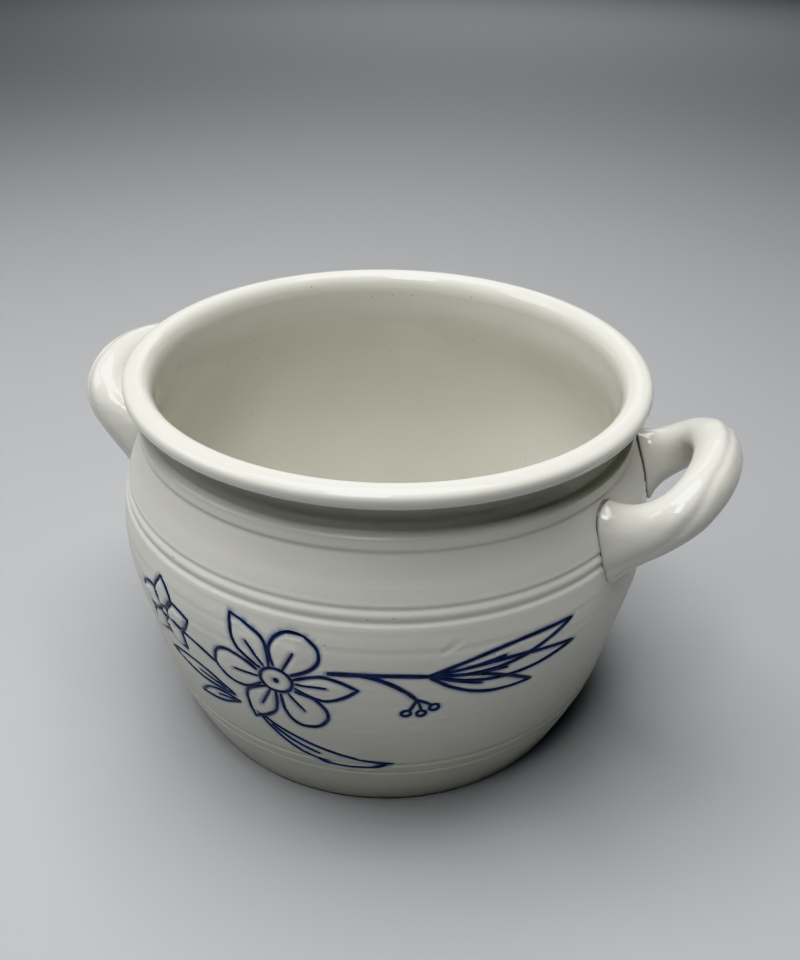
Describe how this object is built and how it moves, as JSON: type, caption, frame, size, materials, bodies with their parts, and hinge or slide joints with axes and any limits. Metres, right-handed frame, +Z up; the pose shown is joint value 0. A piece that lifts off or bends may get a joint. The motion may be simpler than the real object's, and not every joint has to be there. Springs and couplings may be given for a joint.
{
  "type": "stoneware crock",
  "caption": "Round-bellied glazed stoneware crock with a rolled rim, side handles and a blue incised floral pattern on the front.",
  "frame": {"origin": "centre of the foot on the plane the crock stands on", "axes": "+Z up; the two handles point along +X and -X; the decorated front faces -Y"},
  "size_m": [0.2788, 0.2228, 0.158],
  "materials": {
    "white_glaze": "satin off-white glaze on light stoneware, glossier on the rim and inside",
    "handle_glaze": "glossy off-white glaze on pulled handles",
    "cobalt_glaze": "cobalt blue in cut lines under the glaze",
    "bare_stoneware": "unglazed fired stoneware on the foot ring"
  },
  "bodies": {
    "root": {"pot_body": "white_glaze", "right_handle": "handle_glaze", "left_handle": "handle_glaze"}
  },
  "joints": []
}
